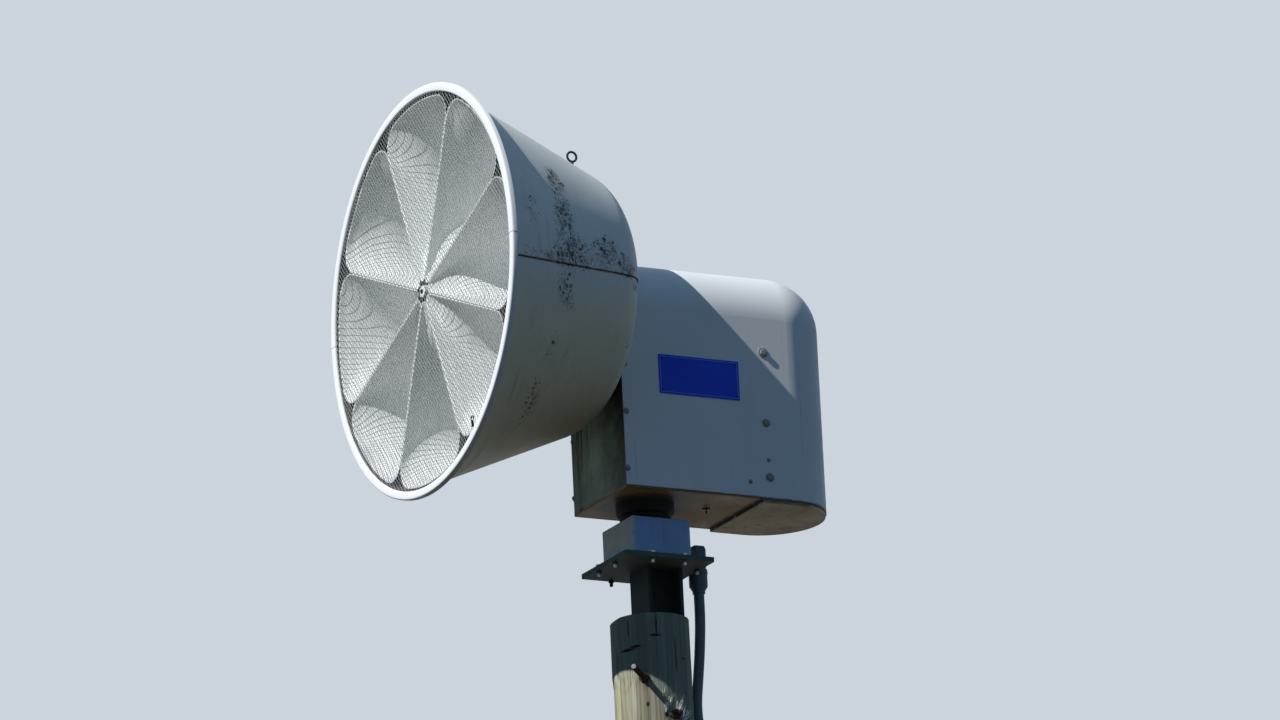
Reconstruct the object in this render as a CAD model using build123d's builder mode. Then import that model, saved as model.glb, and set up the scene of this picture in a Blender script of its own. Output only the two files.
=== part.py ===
from build123d import *
import math
import os

# A rotating warning siren on a wooden pole. The origin is the middle of the pole's foot at ground
# level, +Z is up, and the horn faces -Y. All sizes are in millimetres.

# driving dimensions of the pole and of the post in its head
pole_height = 7445
pole_foot_radius = 137.5
pole_top_radius = 105
pole_bevel = 7
post_size = 100
post_flange = 9
post_web = 7
post_y = 23
post_tail = 340
bolt_radius = 8
bolt_places = (("upper_through_bolt", 170, -40, 119), ("lower_through_bolt", 267, 3, 23))
bolt_head_radius = 13
bolt_head_height = 14
bolt_washer_radius = 20
bolt_washer_thickness = 6

# driving dimensions of the base under the turntable
plate_width = 254
plate_thickness = 12
plate_above_pole = 138
base_box_width = 172
base_box_depth = 166
base_box_height = 105
collar_radius = 66
collar_height = 22
spindle_radius = 30
spindle_clearance = 0.05
spindle_in_head = 15

# driving dimensions of the horn, as depths behind its mouth and radii about its axis
horn_above_pole = 825
mouth_to_pole = 616
rim_radius = 535
rim_width = 24
rim_depth = 17
rim_rounding = 6
shell_front_radius = 512
shell_taper = 22.6
shell_shoulder = 119
shell_depth = 490
shell_wall = 5
seam_front_drop = 42
seam_tilt = 4.8
screen_depth = 4
screen_thickness = 2.4
eye_depth = 453
eye_rise = 85
eye_radius = 13
eye_wire = 3

# driving dimensions of the eight horn cells. Each station along a cell gives its depth, its outer
# radius, how far its two sides stand in from the gaps between cells, and the roundings of its outer
# corners and of its inner end
cell_count = 8
cell_stations = ((9, 505, 0.4, 58, 15.5), (20, 501, 1.5, 72, 26), (37, 491.5, 4, 92, 50),
                 (60, 479.5, 7, 108, 66), (100, 460, 14, 114, 74), (170, 430, 25, 98, 72),
                 (270, 389, 38, 76, 62), (400, 338, 52, 50, 50))
cell_wall = 4
hub_radius = 24
hub_length = 30
hub_rod_radius = 8

# driving dimensions of the machine housing, its heights measured off the horn's axis
housing_width = 300
housing_bottom = -515
housing_top = 119
housing_straight = 484
pan_length = 386
pan_thickness = 6
rear_floor_drop = 8
rear_floor_inset = 3
rear_floor_gap = 4
panel_recess = 14
panel_thickness = 5
lip_thickness = 3
ring_radius = 75
ring_height = 28
nameplate_length = 231
nameplate_height = 104
nameplate_thickness = 1.5
nameplate_depth = 596
nameplate_top = -154

# driving dimensions of the cable conduit
fitting_x = -15
fitting_y = 152
fitting_width = 38
fitting_depth = 34
fitting_corner = 8
connector_radius = 24
fitting_drop = 38
elbow_height = 62
connector_height = 58
connector_taper = 14
nipple_radius = 17
conduit_radius = 13.5
conduit_standoff = 7
coupling_radius = 18.5
coupling_top = 7090
coupling_height = 50
strap_count = 8
strap_height = 32
strap_wall = 5
strap_top = 6880
strap_spacing = 914

# heights and places that follow from them
horn_axis_z = pole_height + horn_above_pole
mouth_y = -mouth_to_pole
plate_bottom_z = pole_height + plate_above_pole
plate_top_z = plate_bottom_z + plate_thickness
box_top_z = plate_top_z + base_box_height
pan_bottom_z = horn_axis_z + housing_bottom
housing_front_y = mouth_y + shell_depth
pan_rear_y = housing_front_y + pan_length
dome_y = housing_front_y + housing_straight
dome_radius = housing_width / 2
dome_z = horn_axis_z + housing_top - dome_radius
elbow_top_z = box_top_z - fitting_drop
connector_top_z = elbow_top_z - elbow_height
connector_bottom_z = connector_top_z - connector_height
horn_axis = Axis((0, 0, horn_axis_z), (0, 1, 0))
cell_back = cell_stations[-1][0]

os.makedirs("parts", exist_ok=True)


def write(block, name):
    block.part.label = name
    export_step(block.part, f"parts/{name}.step")


def pole_radius_at(height):
    return pole_foot_radius + (pole_top_radius - pole_foot_radius) * height / pole_height


def conduit_y_at(height):
    return pole_radius_at(height) + conduit_standoff + conduit_radius


def shell_radius_at(depth):
    return shell_front_radius - (depth - rim_depth) * math.tan(math.radians(shell_taper))


def mouth_plane(depth, angle=0):
    # a plane across the horn at a depth, its x axis turned about the horn's axis
    turn = math.radians(angle)
    return Plane(origin=(0, mouth_y + depth, horn_axis_z),
                 x_dir=(math.cos(turn), 0, math.sin(turn)), z_dir=(0, -1, 0))


def h_section():
    # the rolled section's outline, centred on the post
    with Locations((0, post_y)):
        Rectangle(post_size, post_size)
    recess = (post_size - post_web) / 2
    for side in (-1, 1):
        with Locations((side * (post_web + recess) / 2, post_y)):
            Rectangle(recess, post_size - 2 * post_flange, mode=Mode.SUBTRACT)


def bolt_plane(drop, angle, reach=0):
    # a plane square to a through bolt, at a reach from the pole's middle
    turn = math.radians(angle)
    direction = Vector(math.cos(turn), math.sin(turn), 0)
    return Plane(origin=direction * reach + Vector(0, 0, pole_height - drop), z_dir=direction)


def bolt_holes():
    for drop, angle in (place[1:3] for place in bolt_places):
        with Locations(bolt_plane(drop, angle)):
            Cylinder(bolt_radius, 3 * pole_top_radius, mode=Mode.SUBTRACT)


def housing_plan(front_y, inset):
    # straight sides and a half-round rear
    side = dome_radius - inset
    with BuildSketch(mode=Mode.PRIVATE) as plan:
        with BuildLine():
            Polyline((-side, dome_y), (-side, front_y), (side, front_y), (side, dome_y))
            ThreePointArc((side, dome_y), (0, dome_y + side), (-side, dome_y))
        make_face()
    return plan.sketch_local


# wooden pole, tapered, with a bevelled head and a pocket for the post
with BuildPart() as pole:
    with BuildSketch(Plane.XY):
        Circle(pole_foot_radius)
    with BuildSketch(Plane.XY.offset(pole_height)):
        Circle(pole_top_radius)
    loft()
    chamfer(pole.edges().filter_by(GeomType.CIRCLE).sort_by(Axis.Z)[-1], pole_bevel)
    with BuildSketch(Plane.XY.offset(pole_height)):
        h_section()
    extrude(amount=-post_tail, mode=Mode.SUBTRACT)
    bolt_holes()
write(pole, "pole")

# rolled steel post, let into the pole's head and standing up to the mounting plate
with BuildPart() as post:
    with BuildSketch(Plane.XY.offset(pole_height - post_tail)):
        h_section()
    extrude(amount=post_tail + plate_above_pole)
    bolt_holes()
write(post, "post")

# two long bolts through the pole and the post, each with a head, a nut, two washers and a threaded end
# that stands out past the nut
for name, drop, angle, tail in bolt_places:
    washer_reach = pole_radius_at(pole_height - drop)
    head_reach = washer_reach + bolt_washer_thickness / 2 + bolt_head_height / 2
    with BuildPart() as through_bolt:
        with Locations(bolt_plane(drop, angle)):
            Cylinder(bolt_radius, 2 * washer_reach)
        for side in (-1, 1):
            with Locations(bolt_plane(drop, angle, side * washer_reach)):
                Cylinder(bolt_washer_radius, bolt_washer_thickness)
            with Locations(bolt_plane(drop, angle, side * head_reach)):
                Cylinder(bolt_head_radius, bolt_head_height)
        with Locations(bolt_plane(drop, angle, washer_reach + tail / 2)):
            Cylinder(bolt_radius, tail)
        add(pole.part, mode=Mode.SUBTRACT)
    write(through_bolt, name)

# square mounting plate on top of the post
with BuildPart() as mounting_plate:
    with BuildSketch(Plane.XY.offset(plate_bottom_z)):
        Rectangle(plate_width, plate_width)
    extrude(amount=plate_thickness)
    fillet(mounting_plate.edges().filter_by(Axis.Z), 4)
write(mounting_plate, "mounting_plate")

# folded sheet box between the mounting plate and the turntable
with BuildPart() as base_box:
    with BuildSketch(Plane.XY.offset(plate_top_z)):
        RectangleRounded(base_box_width, base_box_depth, 5)
    extrude(amount=base_box_height)
    fillet(base_box.faces().sort_by(Axis.Z)[-1].edges(), 3)
write(base_box, "base_box")

# fixed half of the turntable, round the spindle
with BuildPart() as turntable_base:
    with BuildSketch(Plane.XY.offset(box_top_z)):
        Circle(collar_radius)
        Circle(spindle_radius, mode=Mode.SUBTRACT)
    extrude(amount=collar_height)
    chamfer(turntable_base.faces().sort_by(Axis.Z)[-1].outer_wire().edges(), 3)
write(turntable_base, "turntable_base")

# spindle that the head turns on
spindle_top_z = pan_bottom_z + spindle_in_head
with BuildPart() as spindle:
    with BuildSketch(Plane.XY.offset(box_top_z)):
        Circle(spindle_radius)
    extrude(amount=spindle_top_z - box_top_z)
    chamfer(spindle.faces().sort_by(Axis.Z)[-1].edges(), 3)
write(spindle, "spindle")

# turning half of the turntable, under the floor pan
with BuildPart() as turntable_ring:
    with BuildSketch(Plane.XY.offset(pan_bottom_z)):
        Circle(ring_radius)
        Circle(spindle_radius + spindle_clearance, mode=Mode.SUBTRACT)
    extrude(amount=-ring_height)
    chamfer(turntable_ring.faces().sort_by(Axis.Z)[0].outer_wire().edges(), 4)
write(turntable_ring, "turntable_ring")

# floor pan of the housing
pan_middle_y = (housing_front_y + pan_rear_y) / 2
spindle_hole_radius = spindle_radius + 2
with BuildPart() as floor_pan:
    with BuildSketch(Plane.XY.offset(pan_bottom_z)):
        with Locations((0, pan_middle_y)):
            Rectangle(housing_width, pan_length)
        Circle(spindle_hole_radius, mode=Mode.SUBTRACT)
    extrude(amount=pan_thickness)
write(floor_pan, "floor_pan")

# rear floor, a shallow tray that hangs a little lower than the pan
with BuildPart() as rear_floor:
    with BuildSketch(Plane.XY.offset(pan_bottom_z)):
        add(housing_plan(pan_rear_y + rear_floor_gap, rear_floor_inset))
    extrude(amount=-rear_floor_drop)
write(rear_floor, "rear_floor")

# weather cover over the motor: straight sides, a round top, and a round rear that closes in a dome
panel_rear_y = housing_front_y + panel_recess + panel_thickness
with BuildPart() as motor_cover:
    with BuildSketch(Plane.XY.offset(pan_bottom_z)):
        add(housing_plan(housing_front_y, 0))
    extrude(amount=dome_z - pan_bottom_z)
    with BuildSketch(Plane.XZ.offset(-housing_front_y)):
        with Locations((0, dome_z)):
            Circle(dome_radius)
    extrude(amount=-housing_straight)
    with Locations((0, dome_y, dome_z)):
        Sphere(dome_radius)
    with BuildSketch(Plane.XZ.offset(-housing_front_y)):
        with Locations((0, dome_z)):
            Circle(dome_radius - lip_thickness)
        with Locations((0, (dome_z + pan_bottom_z) / 2)):
            Rectangle(housing_width - 2 * lip_thickness, dome_z - pan_bottom_z)
    extrude(amount=-(panel_recess + panel_thickness), mode=Mode.SUBTRACT)
    with Locations((0, pan_middle_y, pan_bottom_z + pan_thickness / 2)):
        Box(housing_width, pan_length, pan_thickness, mode=Mode.SUBTRACT)
    with BuildSketch(Plane.XY.offset(pan_bottom_z)):
        Circle(spindle_hole_radius)
    extrude(amount=spindle_in_head + 5, mode=Mode.SUBTRACT)
write(motor_cover, "motor_cover")

# front panel, set back inside the cover's lip
pan_top_z = pan_bottom_z + pan_thickness
with BuildPart() as front_panel:
    with BuildSketch(Plane.XZ.offset(-(housing_front_y + panel_recess))):
        with Locations((0, dome_z)):
            Circle(dome_radius - lip_thickness)
        with Locations((0, (dome_z + pan_top_z) / 2)):
            Rectangle(housing_width - 2 * lip_thickness, dome_z - pan_top_z)
    extrude(amount=-panel_thickness)
write(front_panel, "front_panel")

# throat ring that carries the horn on the front panel
with BuildPart() as throat_ring:
    with BuildSketch(Plane.XZ.offset(-housing_front_y)):
        with Locations((0, dome_z)):
            Circle(dome_radius - rim_width)
    extrude(amount=-panel_recess)
write(throat_ring, "throat_ring")

# bare name plate on the cover's side
nameplate_y = mouth_y + nameplate_depth + nameplate_length / 2
nameplate_z = horn_axis_z + nameplate_top - nameplate_height / 2
with BuildPart() as nameplate:
    with BuildSketch(Plane.YZ.offset(dome_radius)):
        with Locations((nameplate_y, nameplate_z)):
            RectangleRounded(nameplate_length, nameplate_height, 3)
    extrude(amount=nameplate_thickness)
write(nameplate, "nameplate")

# the horn's flared shell, turned whole and then split on a slightly tilted seam
with BuildPart() as whole_shell:
    for inset, mode in ((0, Mode.ADD), (shell_wall, Mode.SUBTRACT)):
        slant = inset / math.cos(math.radians(shell_taper))
        back = shell_depth - inset
        with BuildSketch(Plane.XY.offset(horn_axis_z)) as outline:
            with BuildLine():
                Polyline((0, mouth_y + rim_depth), (shell_front_radius - slant, mouth_y + rim_depth),
                         (shell_radius_at(back) - slant, mouth_y + back), (0, mouth_y + back), close=True)
            make_face()
            rear_corner = outline.vertices().sort_by(Axis.Y)[-2:].sort_by(Axis.X)[-1]
            fillet(rear_corner, shell_shoulder - inset)
        revolve(axis=horn_axis, mode=mode)
tilt = math.radians(seam_tilt)
seam = Plane(origin=(0, mouth_y + rim_depth, horn_axis_z - seam_front_drop), x_dir=(1, 0, 0),
             z_dir=(0, -math.sin(tilt), math.cos(tilt)))
for name, kept in (("horn_shell_upper", Keep.TOP), ("horn_shell_lower", Keep.BOTTOM)):
    with BuildPart() as half_shell:
        add(whole_shell.part)
        split(bisect_by=seam, keep=kept)
    write(half_shell, name)

# rolled rim round the mouth, in two halves
for name, turn in (("rim_upper", -1), ("rim_lower", 1)):
    with BuildPart() as rim_half:
        with BuildSketch(Plane.XY.offset(horn_axis_z)):
            with Locations((rim_radius - rim_width / 2, mouth_y + rim_depth / 2)):
                RectangleRounded(rim_width, rim_depth, rim_rounding)
        revolve(axis=Axis((0, 0, horn_axis_z), (0, turn, 0)), revolution_arc=180)
    write(rim_half, name)

# bird screen across the mouth, a plain disc here
with BuildPart() as screen:
    with BuildSketch(mouth_plane(screen_depth)):
        Circle(rim_radius - rim_width)
    extrude(amount=-screen_thickness)
write(screen, "screen")

# port plate that closes the cells' inner ends
with BuildPart() as port_plate:
    with BuildSketch(mouth_plane(cell_back)):
        Circle(shell_radius_at(cell_back) - shell_wall)
    extrude(amount=-shell_wall)
    add(whole_shell.part, mode=Mode.SUBTRACT)
write(port_plate, "port_plate")


def cell_section(outer_radius, side_inset, corner, inner_end):
    # one petal across the horn: an outer arc, two rounded corners, two straight sides and a round inner end
    half_angle = math.pi / cell_count
    reach = half_angle - math.asin(side_inset / outer_radius)
    apex = Vector(side_inset / math.sin(half_angle), 0)
    ends = [Vector(outer_radius * math.cos(reach), side * outer_radius * math.sin(reach)) for side in (-1, 1)]
    with BuildSketch(mode=Mode.PRIVATE) as petal:
        with BuildLine():
            Polyline(ends[0], apex, ends[1])
            ThreePointArc(ends[1], (outer_radius, 0), ends[0])
        make_face()
        fillet(petal.vertices().sort_by(Axis.X)[-2:], corner)
        fillet(petal.vertices().sort_by(Axis.X)[0], inner_end)
    return petal.sketch_local


# the eight horn cells, each a flared tube from a petal-shaped mouth to its port
for number in range(cell_count):
    with BuildPart() as horn_cell:
        for inset, mode in ((0, Mode.ADD), (cell_wall, Mode.SUBTRACT)):
            for depth, outer_radius, side_inset, corner, inner_end in cell_stations:
                with BuildSketch(mouth_plane(depth, number * 360 / cell_count)):
                    add(cell_section(outer_radius - inset, side_inset + inset, corner - inset, inner_end - inset))
            loft(ruled=True, mode=mode)
    write(horn_cell, f"horn_cell_{number + 1}")

# hub at the middle of the cells, on a rod from the port plate
with BuildPart() as hub:
    with BuildSketch(mouth_plane(screen_depth + screen_thickness)):
        Circle(hub_radius)
    extrude(amount=-hub_length)
    with BuildSketch(mouth_plane(screen_depth + screen_thickness)):
        Circle(hub_rod_radius)
    extrude(amount=-(cell_back - screen_depth - screen_thickness))
write(hub, "hub")

# lifting eye on the crown of the shell's shoulder
shoulder_depth = shell_depth - shell_shoulder
shoulder_radius = shell_radius_at(shoulder_depth) - shell_shoulder / math.cos(math.radians(shell_taper))
eye_foot_radius = shoulder_radius + math.sqrt(shell_shoulder ** 2 - (eye_depth - shoulder_depth) ** 2)
eye_z = horn_axis_z + eye_foot_radius + eye_rise
with BuildPart() as lifting_eye:
    with Locations(Location((0, mouth_y + eye_depth, eye_z), (0, 90, 0))):
        Torus(eye_radius, eye_wire)
    with BuildSketch(Plane.XY.offset(eye_z - eye_radius)):
        with Locations((0, mouth_y + eye_depth)):
            Circle(eye_wire + 1)
    extrude(amount=-(eye_rise - eye_radius + shell_wall / 2))
    add(whole_shell.part, mode=Mode.SUBTRACT)
write(lifting_eye, "lifting_eye")

# conduit elbow behind the base box, with its nipple through the box's rear wall
with BuildPart() as conduit_elbow:
    with BuildSketch(Plane.XY.offset(connector_top_z)):
        with Locations((fitting_x, fitting_y)):
            RectangleRounded(fitting_width, fitting_depth, fitting_corner)
    extrude(amount=elbow_height)
    fillet(conduit_elbow.faces().sort_by(Axis.Z)[-1].edges(), 5)
    with BuildSketch(Plane.XZ.offset(-base_box_depth / 2)):
        with Locations((fitting_x, elbow_top_z - fitting_width / 2)):
            Circle(nipple_radius)
    extrude(amount=-(fitting_y - base_box_depth / 2))
write(conduit_elbow, "conduit_elbow")

# connector that grips the flexible conduit
with BuildPart() as conduit_connector:
    with BuildSketch(Plane.XY.offset(connector_top_z)):
        with Locations((fitting_x, fitting_y)):
            Circle(connector_radius)
    extrude(amount=connector_taper - connector_height)
    with BuildSketch(Plane.XY.offset(connector_bottom_z + connector_taper)):
        with Locations((fitting_x, fitting_y)):
            Circle(connector_radius)
    with BuildSketch(Plane.XY.offset(connector_bottom_z)):
        with Locations((fitting_x, fitting_y)):
            Circle(conduit_radius + 2)
    loft()
write(conduit_connector, "conduit_connector")

# flexible conduit from the connector down to the coupling, bowed out past the pole's head
route = [Vector(fitting_x, fitting_y, connector_bottom_z), Vector(fitting_x, fitting_y, 7462),
         Vector(-15, 145, 7372), Vector(-14, 128, 7236), Vector(0, conduit_y_at(coupling_top), 7160),
         Vector(0, conduit_y_at(coupling_top), coupling_top)]
radii = []
for before, corner, after in zip(route, route[1:], route[2:]):
    turn = math.radians((corner - before).get_angle(after - corner))
    run = min((corner - before).length, (after - corner).length)
    radii.append(0.45 * run / math.tan(turn / 2))
print("flexible conduit radii", [round(radius) for radius in radii])
with BuildPart() as flexible_conduit:
    with BuildLine() as centre_line:
        FilletPolyline(*route, radius=radii)
    with BuildSketch(Plane(origin=centre_line.line @ 0, z_dir=centre_line.line % 0)):
        Circle(conduit_radius)
    sweep()
length = sum(edge.length for edge in centre_line.edges())
print("flexible conduit length", round(length), "volume share",
      round(flexible_conduit.part.volume / (math.pi * conduit_radius ** 2 * length), 4))
write(flexible_conduit, "flexible_conduit")

# coupling, and the rigid conduit that follows the pole's taper down to the ground
coupling_bottom = coupling_top - coupling_height
with BuildPart() as conduit_coupling:
    with BuildSketch(Plane.XY.offset(coupling_bottom)):
        with Locations((0, conduit_y_at(coupling_top))):
            Circle(coupling_radius)
    extrude(amount=coupling_height)
write(conduit_coupling, "conduit_coupling")
with BuildPart() as rigid_conduit:
    with BuildSketch(Plane.XY):
        with Locations((0, conduit_y_at(0))):
            Circle(conduit_radius)
    with BuildSketch(Plane.XY.offset(coupling_bottom)):
        with Locations((0, conduit_y_at(coupling_bottom))):
            Circle(conduit_radius)
    loft()
write(rigid_conduit, "rigid_conduit")

# straps that hold the rigid conduit off the pole
with BuildPart() as conduit_straps:
    for number in range(strap_count):
        strap_z = strap_top - number * strap_spacing
        centre_y = conduit_y_at(strap_z)
        with BuildSketch(Plane.XY.offset(strap_z)):
            with Locations((0, centre_y)):
                Circle(conduit_radius + strap_wall)
            with Locations((0, centre_y - conduit_radius)):
                Rectangle(2 * (conduit_radius + strap_wall), 2 * conduit_radius)
        extrude(amount=strap_height)
    add(rigid_conduit.part, mode=Mode.SUBTRACT)
    add(pole.part, mode=Mode.SUBTRACT)
write(conduit_straps, "conduit_straps")
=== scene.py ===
import math
import random
import bmesh
import bpy
import numpy as np
from mathutils import Matrix, Vector, noise


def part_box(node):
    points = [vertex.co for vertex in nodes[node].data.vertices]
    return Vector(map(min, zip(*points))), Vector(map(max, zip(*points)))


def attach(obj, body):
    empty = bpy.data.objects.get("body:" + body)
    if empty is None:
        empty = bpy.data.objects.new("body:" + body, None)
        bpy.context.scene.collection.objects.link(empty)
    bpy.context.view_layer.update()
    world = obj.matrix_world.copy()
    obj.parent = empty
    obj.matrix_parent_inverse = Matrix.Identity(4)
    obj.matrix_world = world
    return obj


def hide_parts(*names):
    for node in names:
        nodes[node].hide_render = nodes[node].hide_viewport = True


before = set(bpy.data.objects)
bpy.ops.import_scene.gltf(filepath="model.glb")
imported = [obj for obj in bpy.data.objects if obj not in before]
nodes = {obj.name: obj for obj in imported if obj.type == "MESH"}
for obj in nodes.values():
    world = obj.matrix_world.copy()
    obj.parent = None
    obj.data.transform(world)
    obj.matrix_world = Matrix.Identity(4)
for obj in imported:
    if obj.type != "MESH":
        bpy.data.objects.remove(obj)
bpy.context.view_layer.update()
bpy.ops.object.select_all(action="DESELECT")

# places that everything else is worked out from, read off the frame, in metres
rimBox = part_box("rim_upper")
rimRadius = rimBox[1].x
axisZ = rimBox[0].z
mouthY = rimBox[0].y
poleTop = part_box("pole")[1].z
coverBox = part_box("motor_cover")
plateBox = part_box("mounting_plate")
plateTop = plateBox[1].z
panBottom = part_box("floor_pan")[0].z
coverSide = coverBox[1].x
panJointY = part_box("floor_pan")[1].y


# camera, lights and the plain room

cameraView = {
    "place": (19.582, -10.287, 1.540),   # a standing person's eye
    "azimuth": 62.27,
    "elevation": 16.624,
    "roll": 2.795,
    "lens": 252.5,
}
studio = {
    "keyFrom": (0.112, -0.750, 0.652),   # in front of the horn and well above it
    "keyPower": 4.4,
    "keySpread": 0.53,
    "fill": (0.29, 0.57, 1.0),           # open sky
    "fillPower": 0.28,
    "backdrop": (0.60, 0.66, 0.72),
    "floor": (0.62, 0.64, 0.66),
    "floorBounce": (0.035, 0.032, 0.024),
    "floorSize": 500,
}


def makeCamera():
    azimuth, elevation, roll = (math.radians(cameraView[k]) for k in ("azimuth", "elevation", "roll"))
    forward = Vector((-math.sin(azimuth) * math.cos(elevation), math.cos(azimuth) * math.cos(elevation),
                      math.sin(elevation)))
    level = Vector((math.cos(azimuth), math.sin(azimuth), 0))
    upright = level.cross(forward)
    right = level * math.cos(roll) - upright * math.sin(roll)
    up = upright * math.cos(roll) + level * math.sin(roll)
    data = bpy.data.cameras.new("camera")
    data.lens = cameraView["lens"]
    data.sensor_width = 36
    data.clip_start = 1
    data.clip_end = 2000
    camera = bpy.data.objects.new("camera", data)
    bpy.context.scene.collection.objects.link(camera)
    camera.matrix_world = Matrix.Translation(cameraView["place"]) @ Matrix((right, up, -forward)).transposed().to_4x4()
    bpy.context.scene.camera = camera


def makeStudio():
    bpy.context.scene.view_settings.view_transform = "Standard"
    key = bpy.data.lights.new("key", "SUN")
    key.energy = studio["keyPower"]
    key.angle = math.radians(studio["keySpread"])
    lamp = bpy.data.objects.new("key", key)
    lamp.rotation_euler = (-Vector(studio["keyFrom"])).to_track_quat("-Z", "Y").to_euler()
    bpy.context.scene.collection.objects.link(lamp)

    world = bpy.data.worlds.new("studio")
    bpy.context.scene.world = world
    world.use_nodes = True
    wiring["tree"] = world.node_tree
    world.node_tree.nodes.clear()
    fill = addNode("ShaderNodeBackground", {"Color": studio["fill"], "Strength": studio["fillPower"]})
    shown = addNode("ShaderNodeBackground", {"Color": studio["backdrop"], "Strength": 1})
    mix = addNode("ShaderNodeMixShader", {0: seenRay(), 1: fill.outputs[0], 2: shown.outputs[0]})
    addNode("ShaderNodeOutputWorld", {"Surface": mix.outputs[0]})

    floor = added(bpy.ops.mesh.primitive_plane_add, size=studio["floorSize"], location=(0, 0, 0))
    floor.name = "floor"
    material, shader = newMaterial("palePlainFloor")
    wire(mixColour(seenRay(), studio["floorBounce"], studio["floor"]), shader["Base Color"])
    shader["Roughness"].default_value = 0.9
    shader["Specular IOR Level"].default_value = 0
    floor.data.materials.append(material)


# small helpers for shader nodes

wiring = {}   # holds the node tree that is being built


def wire(source, socket):
    wiring["tree"].links.new(source, socket)


def addNode(kind, values=None, **settings):
    # inputs take a link, a number, or a colour given as three numbers
    made = wiring["tree"].nodes.new(kind)
    for key, value in settings.items():
        setattr(made, key, value)
    for key, value in (values or {}).items():
        socket = made.inputs[key]
        if isinstance(value, bpy.types.NodeSocket):
            wire(value, socket)
        else:
            socket.default_value = (*value, 1) if socket.type == "RGBA" else value
    return made


def maths(operation, *values, clamp=False):
    return addNode("ShaderNodeMath", dict(enumerate(values)), operation=operation, use_clamp=clamp).outputs[0]


def times(first, second, clamp=False):
    return maths("MULTIPLY", first, second, clamp=clamp)


def plus(first, second, clamp=False):
    return maths("ADD", first, second, clamp=clamp)


def minus(first, second):
    return maths("SUBTRACT", first, second)


def larger(first, second):
    return maths("MAXIMUM", first, second)


def away(first, second):
    # straight distance from two offsets
    return maths("SQRT", plus(times(first, first), times(second, second)))


def bearing(up, across):
    # angle in degrees
    return times(maths("ARCTAN2", up, across), 180 / math.pi)


def mixColour(share, first, second, blend="MIX"):
    return addNode("ShaderNodeMix", {0: share, 6: first, 7: second}, data_type="RGBA", blend_type=blend).outputs[2]


def tinted(colour, tint):
    return mixColour(1.0, colour, tint, "MULTIPLY")


def spread(value, low, high, toLow=0.0, toHigh=1.0, smooth=True):
    # maps low..high to toLow..toHigh and stops at both ends
    return addNode("ShaderNodeMapRange", {"Value": value, "From Min": low, "From Max": high, "To Min": toLow,
                                          "To Max": toHigh},
                   interpolation_type="SMOOTHSTEP" if smooth else "LINEAR").outputs[0]


def hump(value, middle, width):
    # 1 at the middle, fading to 0 at a width on either side
    return spread(maths("ABSOLUTE", minus(value, middle)), 0, width, 1, 0)


def stretched(vector, *scale):
    return addNode("ShaderNodeMapping", {"Vector": vector, "Scale": scale}).outputs[0]


def cloud(vector, scale=1.0, detail=4, rough=0.5, warp=0.0):
    return addNode("ShaderNodeTexNoise", {"Vector": vector, "Scale": scale, "Detail": detail, "Roughness": rough,
                                          "Distortion": warp}).outputs[0]


def objectPoint():
    return addNode("ShaderNodeTexCoord").outputs["Object"]


def facing():
    return apart(addNode("ShaderNodeNewGeometry").outputs["Normal"])


def apart(vector):
    return addNode("ShaderNodeSeparateXYZ", {0: vector}).outputs


def seenRay():
    # 1 for rays that show the background itself
    path = addNode("ShaderNodeLightPath").outputs
    return larger(larger(path["Is Camera Ray"], path["Is Glossy Ray"]), path["Is Transmission Ray"])


def newMaterial(name):
    material = bpy.data.materials.new(name)
    material.use_nodes = True
    wiring["tree"] = material.node_tree
    shader = material.node_tree.nodes["Principled BSDF"]
    shader.inputs["Specular IOR Level"].default_value = 0.12
    return material, shader.inputs


def newGroup(name, inputs, outputs):
    group = bpy.data.node_groups.new(name, "ShaderNodeTree")
    wiring["tree"] = group
    kinds = {"colour": "NodeSocketColor", "value": "NodeSocketFloat", "vector": "NodeSocketVector"}
    for direction, sockets in (("INPUT", inputs), ("OUTPUT", outputs)):
        for label, kind in sockets.items():
            group.interface.new_socket(name=label, in_out=direction, socket_type=kinds[kind])
    return group, addNode("NodeGroupInput").outputs, addNode("NodeGroupOutput").inputs


def useGroup(group, values):
    return addNode("ShaderNodeGroup", values, node_tree=group).outputs


def finished(material, shader, colour, rough, height, bump, depth=0.0006):
    wire(colour, shader["Base Color"])
    if isinstance(rough, bpy.types.NodeSocket):
        wire(rough, shader["Roughness"])
    else:
        shader["Roughness"].default_value = rough
    bumps = addNode("ShaderNodeBump", {"Height": height, "Strength": bump, "Distance": depth})
    wire(bumps.outputs[0], shader["Normal"])
    return material


# shared effects

def makePaintGroup():
    # chalked outdoor paint: uneven fading, runs of dirt down it, and fine specks
    group, given, result = newGroup(
        "weatheredPaint",
        {"Vector": "vector", "Paint": "colour", "Dirt": "colour", "Runs": "value", "Specks": "value",
         "Fading": "value"},
        {"Color": "colour", "Roughness": "value", "Height": "value"})
    point = given["Vector"]
    patches = cloud(point, 4.5, 5, 0.6)
    fade = times(spread(patches, 0.35, 0.70), given["Fading"])
    colour = mixColour(fade, given["Paint"], tinted(given["Paint"], (0.80, 0.80, 0.78)))
    runs = spread(cloud(stretched(point, 38, 38, 2.2), 1.0, 6, 0.62), 0.50, 0.78)
    runs = times(times(runs, spread(cloud(stretched(point, 9, 9, 1.1), 1.0, 3), 0.40, 0.66)), given["Runs"])
    cells = addNode("ShaderNodeTexVoronoi", {"Vector": point, "Scale": 210}).outputs["Distance"]
    specks = times(spread(cells, 0.10, 0.24, 1, 0), spread(cloud(point, 34, 3), 0.56, 0.66))
    soiled = plus(runs, times(specks, given["Specks"]), clamp=True)
    wire(mixColour(soiled, colour, given["Dirt"]), result["Color"])
    wire(plus(spread(patches, 0.3, 0.7, 0.48, 0.62), times(soiled, 0.25)), result["Roughness"])
    wire(plus(times(cloud(point, 420, 3), 0.35), times(soiled, 0.4)), result["Height"])
    return group


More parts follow.
